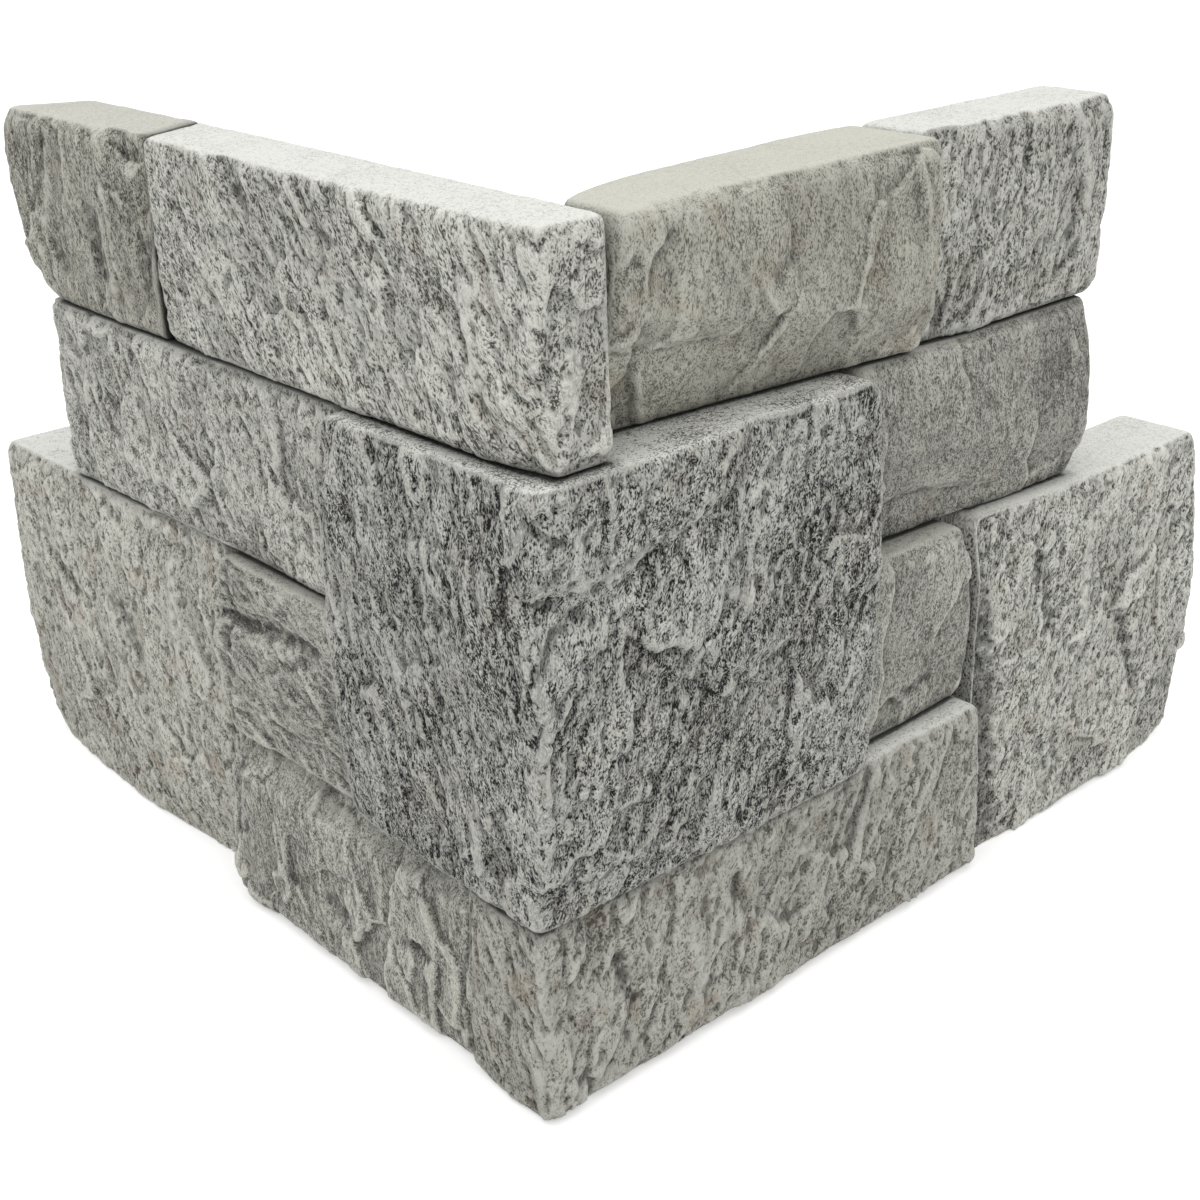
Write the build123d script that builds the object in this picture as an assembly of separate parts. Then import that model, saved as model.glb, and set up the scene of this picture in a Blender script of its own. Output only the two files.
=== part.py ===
from build123d import *
import os

# An outside corner panel of thirteen split stones in four courses, made to wrap a building's corner.
# The origin is the foot of that corner, where the two wall planes meet. The right arm runs along +X
# with its back on the plane y = 0, the left arm runs along +Y with its back on the plane x = 0, and
# both faces look outwards, to -Y and to -X. Every length is in millimetres.

# Overall height, height of one of the four courses, and depth from the walls to the face planes.
PANEL_HEIGHT = 152.4
COURSE = PANEL_HEIGHT / 4
DEPTH = 24.0

# Overall lengths of the arms, from the face plane of the other arm to the feet of the end blocks.
RIGHT_ARM = 198.5
LEFT_ARM = 201.0

# Lengths of the upper courses, measured the same way to their lower outer edge.
TOP_RIGHT_LENGTH = 152.4
TOP_LEFT_LENGTH = 160.0
SECOND_RIGHT_LENGTH = 150.0
SECOND_LEFT_LENGTH = 160.5

# Butt joints, as distances along an arm from the building's corner, and how far the slanting one
# runs on towards the wall.
TOP_LEFT_JOINT = 86.5
TOP_LEFT_JOINT_SKEW = 10.0
TOP_RIGHT_JOINT = 73.4
CORNER_BLOCK_LEFT_LEG = 34.4
CORNER_BLOCK_RIGHT_LEG = 57.0
LOWER_LEFT_JOINT = 80.6
LOWER_RIGHT_JOINT = 94.6

# The long top stone is sawn thinner towards the corner, where it stands this far off the wall.
THIN_END_GAP = 3.4

# What tumbling has worn off: the round of a stone's outline and the bevel round its face. The sawn
# back keeps a fine bevel.
OUTLINE_ROUND = 3.0
WORN_BEVEL = 2.3
SAWN_BEVEL = 0.8

# How far each stone's face lies behind the face plane, on average.
TOP_LEFT_END_SETBACK = 7.0
TOP_LEFT_CORNER_SETBACK = 6.2
TOP_CORNER_END_SETBACK = 3.2
TOP_RIGHT_INNER_SETBACK = 3.2
TOP_RIGHT_END_SETBACK = 7.4
SECOND_LEFT_SETBACK = 6.6
SECOND_RIGHT_SETBACK = 7.2
CORNER_BLOCK_SETBACK = 0.4
THIRD_LEFT_SETBACK = 3.8
THIRD_RIGHT_SETBACK = 7.0
LEFT_BLOCK_SETBACK = 6.4
RIGHT_BLOCK_SETBACK = 4.8
BOTTOM_LEFT_SETBACK = 2.4
BOTTOM_CORNER_SETBACK = 3.0
BOTTOM_CORNER_END_SETBACK = 0.6

# How far the flat face stands proud of the average before the splitting relief is cut, how far the
# relief reaches past a stone, and a length that runs clear through the panel.
CROWN = 1.0
MARGIN = 6.0
THROUGH = LEFT_ARM + RIGHT_ARM

# Lower and upper bed of each height of stone.
TOP = (3 * COURSE, 4 * COURSE)
SECOND = (2 * COURSE, 3 * COURSE)
THIRD = (COURSE, 2 * COURSE)
BOTTOM = (0.0, COURSE)
MIDDLE_TWO = (COURSE, 3 * COURSE)
LOWER_TWO = (0.0, 2 * COURSE)

# The plane through the corner's vertical edge that swaps the two arms.
MITRE = Plane(origin=(0, 0, 0), z_dir=(1, -1, 0))


def spread(low, high, count):
    """Evenly spaced values from low to high, both ends included."""
    return [low + (high - low) * step / (count - 1) for step in range(count)]


def behind_relief(near, far, levels, setback, relief):
    """All that lies behind an uneven split face on the right arm.

    relief is the control net of the face: rows from the top bed down, each read from the corner
    outwards, in millimetres proud of the setback.
    """
    heights = spread(levels[1] + MARGIN, levels[0] - MARGIN, len(relief))
    distances = spread(near - MARGIN, far + MARGIN, len(relief[0]))
    net = [
        [(x, -DEPTH + setback - proud, z) for x, proud in zip(distances, row)]
        for z, row in zip(heights, relief)
    ]
    return Solid.extrude(Face.make_bezier_surface(net), (0, THROUGH, 0))


def behind_end_relief(levels, setback, relief):
    """All that lies behind the split end face that a stone shows at the corner."""
    return mirror(behind_relief(-DEPTH, 0, levels, setback, relief), about=MITRE)


def end_line(places, levels):
    """One end of a stone seen from the front, up from its lower bed: straight, or an arc of three."""
    points = list(zip(places, spread(*levels, len(places))))
    return Line(*points) if len(points) == 2 else ThreePointArc(*points)


def worn_block(near, far, levels, setback, back_bevel=SAWN_BEVEL):
    """A sawn block on the right arm with a rounded outline and a bevelled edge round its face."""
    near_line = end_line(near, levels)
    far_line = end_line(far, levels)
    beds = [Line(near_line @ 0, far_line @ 0), Line(near_line @ 1, far_line @ 1)]
    outline = make_face([near_line, far_line, *beds])
    outline = fillet(outline.vertices(), OUTLINE_ROUND)
    block = extrude(Plane.XZ * outline, amount=DEPTH - setback + CROWN)
    block = chamfer(block.faces().sort_by(Axis.Y)[0].edges(), WORN_BEVEL)
    if back_bevel:
        block = chamfer(block.faces().sort_by(Axis.Y)[-1].edges(), back_bevel)
    return block


def knock_off(stone, chips):
    """A stone less its flat chips, each a point on the break and the way that the break faces."""
    for point, facing in chips:
        stone = split(stone, bisect_by=Plane(origin=point, z_dir=facing), keep=Keep.BOTTOM)
    return stone


def right_stone(near, far, levels, setback, relief, chips=(), back_bevel=SAWN_BEVEL):
    """A split stone of the right arm.

    near and far are the places of its two ends as distances from the building's corner, at the
    lower bed, for an arc at mid height, and at the upper bed.
    """
    block = worn_block(near, far, levels, setback, back_bevel)
    stone = block & behind_relief(min(near), max(far), levels, setback, relief)
    return knock_off(stone, chips)


def left_stone(*sizes, **options):
    """The same stone on the left arm."""
    return mirror(right_stone(*sizes, **options), about=MITRE)


def skewed(stone, kept_side):
    """A stone cut along the slanting joint of the top left course, which runs on towards the wall."""
    across = Vector(DEPTH, -TOP_LEFT_JOINT_SKEW, 0)
    joint = Plane(origin=(TOP_LEFT_JOINT, -DEPTH, 0), z_dir=across)
    return mirror(split(stone, bisect_by=joint, keep=kept_side), about=MITRE)


def top_left_end_stone():
    end = TOP_LEFT_LENGTH - DEPTH
    near = TOP_LEFT_JOINT - OUTLINE_ROUND
    relief = [
        [-5.0, 0.0, 3.0, 2.5, 0.5],
        [-5.0, 1.0, 4.0, 1.5, 1.0],
        [-2.0, 4.0, -1.0, 0.5, 0.0],
        [-1.0, 2.0, -2.0, -2.0, -2.5],
    ]
    broken_end = [((end + 9.5, TOP_LEFT_END_SETBACK - DEPTH, 0), (DEPTH, 0.5 * DEPTH, 0))]
    ends = (near, near), (end - 2, end + 12, end + 8.5)
    return skewed(right_stone(*ends, TOP, TOP_LEFT_END_SETBACK, relief, broken_end), Keep.TOP)


def top_left_corner_stone():
    near = TOP_CORNER_END_SETBACK - CROWN - DEPTH
    far = TOP_LEFT_JOINT + TOP_LEFT_JOINT_SKEW + OUTLINE_ROUND
    relief = [
        [0.0, 1.5, -0.5, 1.0, -0.5, -2.0],
        [1.0, -1.0, 1.5, 0.0, 1.5, -1.0],
        [1.5, 1.0, 1.0, -1.5, 1.0, -2.0],
        [2.0, 1.0, -1.0, 1.5, -1.5, -3.5],
    ]
    end_relief = [[-0.5, 0.0, 0.5], [0.5, 1.5, -0.5], [1.0, 1.5, 0.5], [0.0, 0.5, 0.0]]
    face = TOP_LEFT_CORNER_SETBACK - DEPTH
    chips = [
        ((0, -THIN_END_GAP, 0), (-THIN_END_GAP, far, 0)),
        ((near + 12, face - 1.0, TOP[0] + 0.25 * COURSE), (-0.16, -0.96, -0.2)),
    ]
    stone = right_stone((near, near), (far, far), TOP, TOP_LEFT_CORNER_SETBACK, relief, chips)
    stone &= behind_end_relief(TOP, TOP_CORNER_END_SETBACK, end_relief)
    return skewed(stone, Keep.BOTTOM)


def top_right_inner_stone():
    near = -THIN_END_GAP
    far = TOP_RIGHT_JOINT
    back = [(near, -9.5), (11, -4.2), (28, -2.0), (46, -0.8), (58, 0), (far, -1.4)]
    relief = [
        [0.0, 1.5, 1.0, 2.5, 0.5],
        [0.5, 1.0, 2.0, 1.5, 1.5],
        [2.0, 2.5, -0.5, 1.0, 0.5],
        [1.0, 0.0, 0.5, -1.0, -0.5],
    ]
    face = TOP_RIGHT_INNER_SETBACK - DEPTH
    ledge = [((26, face - 0.2, TOP[0] + 0.42 * COURSE), (-0.08, -0.86, -0.5))]
    stone = right_stone(
        (near, near), (far, far), TOP, TOP_RIGHT_INNER_SETBACK, relief, ledge, back_bevel=0
    )
    front_corners = [back[-1], (far, -2 * DEPTH), (near, -2 * DEPTH), back[0]]
    wavy_plan = make_face([Spline(*back), Polyline(*front_corners)])
    return stone & extrude(Plane.XY.offset(TOP[0]) * wavy_plan, amount=COURSE)


def top_right_end_stone():
    near = TOP_RIGHT_JOINT
    end = TOP_RIGHT_LENGTH - DEPTH
    relief = [
        [-4.0, 0.0, 1.5, 1.0],
        [1.0, 0.5, 2.0, 1.0],
        [0.0, 2.0, 0.5, 1.5],
        [-5.0, -1.0, 1.0, 0.5],
    ]
    face = TOP_RIGHT_END_SETBACK - DEPTH
    chip = [((near, face + 2.0, TOP[1] - 2.0), (-0.5, -0.6, 0.6))]
    ends = (near, near), (end - 0.5, end + 1, end + 1)
    return right_stone(*ends, TOP, TOP_RIGHT_END_SETBACK, relief, chip)


def second_left_stone():
    near = CORNER_BLOCK_LEFT_LEG
    end = SECOND_LEFT_LENGTH - DEPTH
    relief = [
        [0.0, 0.5, 1.5, 0.0, 1.0, -1.0],
        [1.0, -1.5, 0.5, 2.0, 2.0, -1.0],
        [-1.5, 1.0, -1.0, 1.5, 1.0, -1.5],
        [0.5, -1.0, -2.0, -1.5, 0.0, -1.0],
    ]
    face = SECOND_LEFT_SETBACK - DEPTH
    bent_end = [((end - 7, face - 0.6, SECOND[1]), (0.27, -0.96, 0.03))]
    ends = (near, near), (end + 2, end + 2.5, end + 4)
    return left_stone(*ends, SECOND, SECOND_LEFT_SETBACK, relief, bent_end)


def second_right_stone():
    near = CORNER_BLOCK_RIGHT_LEG
    end = SECOND_RIGHT_LENGTH - DEPTH
    relief = [
        [-1.5, -0.5, 0.5, 0.5, -2.0],
        [1.5, 0.5, 1.5, 2.5, 1.0],
        [2.0, 2.5, 2.0, 2.5, 1.5],
        [2.0, 1.0, 1.0, 1.0, 0.5],
    ]
    face = SECOND_RIGHT_SETBACK - DEPTH
    ledge = [((88, face - 1.6, SECOND[0] + 0.5 * COURSE), (-0.06, -0.94, -0.34))]
    ends = (near, near), (end + 1, end + 3.5, end - 1)
    return right_stone(*ends, SECOND, SECOND_RIGHT_SETBACK, relief, ledge)


def corner_block():
    left_leg = CORNER_BLOCK_LEFT_LEG
    right_leg = CORNER_BLOCK_RIGHT_LEG
    outside = CORNER_BLOCK_SETBACK - CROWN - DEPTH
    outer_corners = [(outside, left_leg), (outside, outside), (right_leg, outside)]
    plan = make_face(Polyline(*outer_corners, (right_leg, 0), (0, 0), (0, left_leg), close=True))
    worn_corners = [plan.vertices().sort_by_distance((*corner, 0))[0] for corner in outer_corners]
    plan = fillet(worn_corners, OUTLINE_ROUND)
    height = MIDDLE_TWO[1] - MIDDLE_TWO[0]
    block = extrude(Plane.XY.offset(MIDDLE_TWO[0]) * plan, amount=height)
    bed_edges = block.faces().filter_by(Axis.Z).edges()
    block = chamfer([edge for edge in bed_edges if min(edge @ 0.5) < -WORN_BEVEL], WORN_BEVEL)
    right_relief = [
        [-1.0, 1.0, 1.5, 0.5, -2.0, 0.5],
        [1.0, -3.0, 2.0, -2.0, 1.5, 1.5],
        [0.5, 2.0, 0.0, 1.5, 2.0, 1.0],
        [1.0, 0.0, -1.0, 1.0, 1.5, 0.0],
        [-0.5, 1.0, 0.0, -1.0, 0.5, -2.5],
    ]
    left_relief = [
        [-1.0, 0.0, -1.0, -2.0],
        [1.5, 3.0, 2.0, 1.0],
        [0.0, -1.5, 1.0, -1.5],
        [1.0, 1.0, -1.0, 0.5],
        [0.0, 0.0, 1.0, -3.5],
    ]
    setback = CORNER_BLOCK_SETBACK
    left_face = behind_relief(-DEPTH, left_leg, MIDDLE_TWO, setback, left_relief)
    right_face = behind_relief(-DEPTH, right_leg, MIDDLE_TWO, setback, right_relief)
    face = setback - DEPTH
    lower_bed, upper_bed = MIDDLE_TWO
    chips = [
        ((face, face, lower_bed + 0.66 * height), (-0.68, -0.68, 0.17)),
        ((face, 0, upper_bed - 0.3 * COURSE), (-0.97, 0, 0.21)),
        ((right_leg - 0.25 * COURSE, face, upper_bed), (0.1, -0.98, 0.05)),
        ((face, left_leg - 0.2 * COURSE, lower_bed), (-0.96, 0.22, -0.06)),
        ((0.3 * right_leg, face, lower_bed + 0.16 * COURSE), (-0.03, -0.96, -0.24)),
    ]
    return knock_off(block & right_face & mirror(left_face, about=MITRE), chips)


def third_left_stone():
    relief = [
        [-1.0, 0.5, 1.0, 0.0, -1.5],
        [2.0, 1.5, 2.5, 0.5, 0.0],
        [-2.0, -1.5, 0.0, 2.0, 0.5],
        [-1.0, 0.0, -2.0, -0.5, -3.0],
    ]
    near = CORNER_BLOCK_LEFT_LEG
    joint = LOWER_LEFT_JOINT
    ends = (near, near), (joint - 2.5, joint - 0.3, joint - 5)
    return left_stone(*ends, THIRD, THIRD_LEFT_SETBACK, relief)


def third_right_stone():
    near = CORNER_BLOCK_RIGHT_LEG
    joint = LOWER_RIGHT_JOINT
    relief = [
        [0.0, 1.0, 2.0, -2.0],
        [2.0, 1.0, 2.0, 1.0],
        [1.0, -1.0, 1.5, 0.0],
        [-2.5, -1.0, -3.0, -4.0],
    ]
    ends = (near, near), (joint - 2, joint - 0.3, joint - 5)
    return right_stone(*ends, THIRD, THIRD_RIGHT_SETBACK, relief)


def left_end_block():
    joint = LOWER_LEFT_JOINT
    end = LEFT_ARM - DEPTH
    relief = [
        [-2.0, -0.5, 1.0, 0.0, -1.0],
        [-1.0, 1.5, 2.0, -0.5, 0.5],
        [1.5, 2.0, -1.5, 2.0, 0.5],
        [-1.0, 0.5, 2.0, 2.0, 1.0],
        [-1.5, -2.0, 0.0, -2.0, -2.5],
    ]
    face = LEFT_BLOCK_SETBACK - DEPTH
    middle = (joint + end) / 2
    chips = [
        ((end - 3.5, 0, 3.5), (0.72, -0.1, -0.7)),
        ((end - 14, face - 0.6, LOWER_TWO[1]), (0.22, -0.97, 0.06)),
        ((joint + 16, face - 0.9, 0.5 * COURSE), (-0.08, -0.97, -0.18)),
        ((middle, face - 0.8, LOWER_TWO[1] - 0.28 * COURSE), (-0.03, -0.97, 0.2)),
        ((middle + 10, face - 1.1, 1.05 * COURSE), (0.07, -0.99, -0.05)),
    ]
    ends = (joint, joint), (end + 1, end - 1.5, end - 6.5)
    return left_stone(*ends, LOWER_TWO, LEFT_BLOCK_SETBACK, relief, chips)


def right_end_block():
    joint = LOWER_RIGHT_JOINT
    end = RIGHT_ARM - DEPTH
    relief = [
        [-1.5, 0.5, 1.5, 0.0, -1.5],
        [1.5, 1.0, -1.5, 1.5, 1.0],
        [0.5, 2.0, 1.5, -0.5, 2.0],
        [1.0, -1.0, 1.5, 2.0, 0.5],
        [-2.0, -1.0, 0.5, 0.0, 1.0],
    ]
    face = RIGHT_BLOCK_SETBACK - DEPTH
    chips = [
        ((end - 14, face - 0.9, 0.6 * COURSE), (0.18, -0.97, -0.12)),
        ((joint + 18, face - 1.0, LOWER_TWO[1] - 0.35 * COURSE), (-0.1, -0.97, 0.17)),
    ]
    ends = (joint + 1, joint), (end + 1, end - 0.5, end - 6)
    return right_stone(*ends, LOWER_TWO, RIGHT_BLOCK_SETBACK, relief, chips)


def bottom_left_stone():
    joint = LOWER_LEFT_JOINT
    relief = [
        [-1.0, 0.0, -1.0, -2.0, -1.0],
        [0.0, 0.5, -0.5, -1.5, 0.0],
        [1.0, -1.5, 2.5, 1.5, -0.5],
        [1.5, 1.5, 3.5, 2.5, 1.5],
    ]
    face = BOTTOM_LEFT_SETBACK - DEPTH
    bevel = [((40, face + 3.0, 0.88 * COURSE), (0.02, -0.75, 0.66))]
    ends = (0, 0), (joint - 0.3, joint - 2)
    return left_stone(*ends, BOTTOM, BOTTOM_LEFT_SETBACK, relief, bevel)


def bottom_corner_stone():
    near = BOTTOM_CORNER_END_SETBACK - CROWN - DEPTH
    joint = LOWER_RIGHT_JOINT
    relief = [
        [-2.5, -1.0, 0.0, 1.0, -1.5, 0.0],
        [0.5, 1.5, -1.5, 1.5, 1.0, 2.0],
        [1.5, 0.0, 1.5, 0.5, 2.0, 0.5],
        [1.5, 2.0, 1.5, 0.0, 1.5, -0.5],
    ]
    end_relief = [[-2.0, -1.0, -2.5], [1.0, 0.5, -1.0], [0.5, 1.5, 1.0], [0.0, 0.5, -2.0]]
    notch = [((near + 1.0, 0, 4.0), (-0.9, 0.15, -0.4))]
    ends = (near, near), (joint - 0.3, joint - 1)
    stone = right_stone(*ends, BOTTOM, BOTTOM_CORNER_SETBACK, relief, notch)
    return stone & behind_end_relief(BOTTOM, BOTTOM_CORNER_END_SETBACK, end_relief)


STONES = (
    top_left_end_stone,
    top_left_corner_stone,
    top_right_inner_stone,
    top_right_end_stone,
    second_left_stone,
    second_right_stone,
    corner_block,
    third_left_stone,
    third_right_stone,
    left_end_block,
    right_end_block,
    bottom_left_stone,
    bottom_corner_stone,
)

os.makedirs("parts", exist_ok=True)
for shape_stone in STONES:
    export_step(shape_stone(), f"parts/{shape_stone.__name__}.step")
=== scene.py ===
import bmesh
import bpy
import numpy as np
from mathutils import Matrix, Vector


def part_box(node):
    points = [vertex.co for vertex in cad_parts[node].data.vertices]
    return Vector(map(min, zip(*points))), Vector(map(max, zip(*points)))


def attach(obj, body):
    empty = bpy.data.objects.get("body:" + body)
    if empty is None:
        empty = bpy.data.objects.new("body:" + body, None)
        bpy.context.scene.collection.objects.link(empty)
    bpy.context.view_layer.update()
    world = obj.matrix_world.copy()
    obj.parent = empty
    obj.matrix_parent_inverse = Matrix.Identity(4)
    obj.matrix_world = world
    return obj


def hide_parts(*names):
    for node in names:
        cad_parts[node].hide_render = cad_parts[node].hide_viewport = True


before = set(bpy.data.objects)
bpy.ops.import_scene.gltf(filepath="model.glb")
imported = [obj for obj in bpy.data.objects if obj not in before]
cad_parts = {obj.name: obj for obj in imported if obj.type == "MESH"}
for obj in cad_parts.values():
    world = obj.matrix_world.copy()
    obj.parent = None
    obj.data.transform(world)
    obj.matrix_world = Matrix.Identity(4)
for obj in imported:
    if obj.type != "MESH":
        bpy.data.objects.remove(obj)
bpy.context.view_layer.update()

# Camera at the photograph's viewing angle, in metres, with its sensor as wide as the square frame.
CAMERA_PLACE = Vector((-0.17623, -0.21115, 0.20723))
CAMERA_FORWARD = Vector((0.6044457, 0.68345135, -0.40931608))
CAMERA_UP = Vector((0.29391237, 0.28623656, 0.91196719))
SENSOR_WIDTH = 36.0
LENS = 54.39
PICTURE = 1200  # width and height of the photograph in pixels

# Studio: how brightly the white surroundings light the stones and how brightly they show, one soft
# box overhead that is turned to the panel's middle, and a white floor that glows for the camera.
SKY_LIGHT = 0.8
SKY_SHOWN = 1.0
LAMP_PLACE = Vector((-0.1, -0.15, 1.0))
LAMP_SIZE = 1.2
LAMP_POWER = 5.6
PANEL_MIDDLE = Vector((0.06, 0.06, 0.07))
FLOOR_HALF = 4.0
FLOOR_GLOW = 0.35

WHITE = (1.0, 1.0, 1.0, 1.0)
MILLIMETRE = 0.001

# Millimetres from one stone's patterns to the next one's, and how they lean away from one line.
SEED_STEP = 137.0
SEED_LEAN = 1.7

# Size of the mesh that the split faces are cut in, and the share of its triangles that is kept once
# the flat sawn faces are thinned out.
FACE_MESH = 0.42 * MILLIMETRE
KEPT_SHARE = 0.48
WELD = 0.002 * MILLIMETRE

# Outward directions of the faces.
LEFT = (-1.0, 0.0, 0.0)
RIGHT = (0.0, -1.0, 0.0)
LEFT_END = (0.0, 1.0, 0.0)
RIGHT_END = (1.0, 0.0, 0.0)


def linear(*srgb):
    """A colour as it is seen, 0 to 255 a channel, in the linear values that the shader takes."""
    def channel(c):
        c = c / 255
        return c / 12.92 if c < 0.04045 else ((c + 0.055) / 1.055) ** 2.4
    return (*[channel(c) for c in srgb], 1.0)


# Nodes, for geometry and for materials

def feed(tree, socket, value):
    if isinstance(value, bpy.types.NodeSocket):
        tree.links.new(value, socket)
    elif value is not None:
        socket.default_value = value


def node(tree, kind, inputs=None, **settings):
    """A new node with its settings, fed by socket name or number from values or other sockets."""
    made = tree.nodes.new(kind)
    for name, value in settings.items():
        setattr(made, name, value)
    for key, value in (inputs or {}).items():
        feed(tree, made.inputs[key], value)
    return made


def math(tree, operation, *values):
    return node(tree, "ShaderNodeMath", dict(enumerate(values)), operation=operation).outputs[0]


def vector_math(tree, operation, *values, scale=None):
    made = node(tree, "ShaderNodeVectorMath", dict(enumerate(values)), operation=operation)
    if scale is not None:
        feed(tree, made.inputs["Scale"], scale)
    return made.outputs["Value" if operation in ("DOT_PRODUCT", "LENGTH") else "Vector"]


def noise(tree, place, size, detail=2.0, roughness=0.5, output=0):
    """Noise from 0 to 1 whose lumps are about as long as size."""
    place = vector_math(tree, "SCALE", place, scale=math(tree, "DIVIDE", 1.0, size))
    inputs = {"Vector": place, "Scale": 1.0, "Detail": detail, "Roughness": roughness}
    return node(tree, "ShaderNodeTexNoise", inputs).outputs[output]


def steps(tree, value, low, high, at_low=0.0, at_high=1.0):
    """A smooth step between two values."""
    inputs = {"Value": value, 1: low, 2: high, 3: at_low, 4: at_high}
    made = node(tree, "ShaderNodeMapRange", inputs, interpolation_type="SMOOTHSTEP")
    return made.outputs[0]


def mix(tree, factor, first, second, blend_type="MIX"):
    made = node(tree, "ShaderNodeMix", data_type="RGBA", blend_type=blend_type)
    for number, value in ((0, factor), (6, first), (7, second)):
        feed(tree, made.inputs[number], value)
    return made.outputs[2]


def along_grain(tree, place, grain, stretch):
    """Coordinates drawn together along the grain, so that what is cut by them runs with it."""
    grain = vector_math(tree, "NORMALIZE", grain)
    length = vector_math(tree, "DOT_PRODUCT", place, grain)
    loss = math(tree, "SUBTRACT", 1.0, math(tree, "DIVIDE", 1.0, stretch))
    taken = vector_math(tree, "SCALE", grain, scale=math(tree, "MULTIPLY", length, loss))
    return vector_math(tree, "SUBTRACT", place, taken)


def seeded(tree, place, seed):
    """The place in millimetres, moved far off by the seed."""
    place = vector_math(tree, "SCALE", place, scale=1 / MILLIMETRE)
    away = node(tree, "ShaderNodeCombineXYZ", {0: seed, 1: math(tree, "MULTIPLY", seed, SEED_LEAN)})
    away = vector_math(tree, "SCALE", away.outputs[0], scale=SEED_STEP)
    return vector_math(tree, "ADD", place, away)


def middled(tree, place_colour):
    """A noise's colour as a shift that averages nothing."""
    return vector_math(tree, "SUBTRACT", place_colour, (0.5, 0.5, 0.5))


def socket(tree, name, in_out, kind, default=None):
    made = tree.interface.new_socket(name, in_out=in_out, socket_type=kind)
    if default is not None:
        made.default_value = default
    return made


# Geometry: the split faces

# Sizes in millimetres, apart from the stretch along the grain, the share of the relief that shows
# on the sawn beds, and the rounds of smoothing that wear the bevels.
RELIEF_SIZES = {
    "Seed": 0.0,
    "Grain stretch": 2.2,
    "Facet size": 15.0,
    "Facet depth": 0.9,
    "Ridge size": 6.0,
    "Ridge depth": 1.0,
    "Pit size": 2.4,
    "Pit depth": 0.55,
    "Top relief": 0.12,
    "Wear": 8,
}
RELIEF_DIRECTIONS = {"Grain": (0.0, 0.0, 1.0), "First face": LEFT, "Second face": RIGHT}

# Size of the swirls that bend facets and ridges, and how far they carry them, in millimetres.
SWIRL_SIZE = 9.0
SWIRL_REACH = 9.0
FACET_SOFTNESS = 0.08

# Rounds of smoothing for the way a face looks, for the ground that crests stand proud of, and for
# how level the ground lies.
OUTWARD_ROUNDS = 10
GROUND_ROUNDS = 12
LEVEL_ROUNDS = 3


def value_socket(sockets):
    """The one value socket that the node's data type turns on."""
    return [s for s in sockets if s.enabled and s.name == "Value"][0]


def blurred(tree, field, rounds):
    """A vector field, averaged with its neighbours on the mesh so many times."""
    made = node(tree, "GeometryNodeBlurAttribute", {"Iterations": rounds}, data_type="FLOAT_VECTOR")
    feed(tree, value_socket(made.inputs), field)
    return value_socket(made.outputs)


def stored(tree, geometry, name, field):
    """The geometry with a field kept on its points under a name."""
    made = node(tree, "GeometryNodeStoreNamedAttribute", {"Geometry": geometry, "Name": name},
                data_type="FLOAT", domain="POINT")
    feed(tree, value_socket(made.inputs), field)
    return made.outputs[0]


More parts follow.
